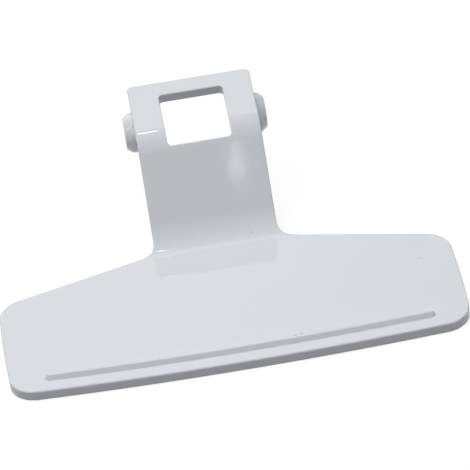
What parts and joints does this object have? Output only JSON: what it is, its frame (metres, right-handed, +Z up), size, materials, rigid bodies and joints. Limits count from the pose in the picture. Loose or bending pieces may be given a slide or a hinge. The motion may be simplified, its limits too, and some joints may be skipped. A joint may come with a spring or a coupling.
{
  "type": "washing machine door handle",
  "caption": "One-piece white plastic door handle: wide grip paddle, cranked neck, square latch frame with a window, and a blunt pivot stub on each side.",
  "frame": {"origin": "on the centre plane of the handle, midway between the grip edge and the latch end, at the flat outer face of the paddle that it lies on", "axes": "+X across the handle along the pivot axis, +Y from the grip edge towards the latch frame, +Z up, square to the paddle, towards the side that the neck rises on"},
  "size_m": [0.118, 0.0898, 0.0296],
  "materials": {
    "handle_plastic": "white moulded plastic with a faint grain and a soft gloss"
  },
  "bodies": {
    "root": {"door_handle": "handle_plastic"}
  },
  "joints": []
}
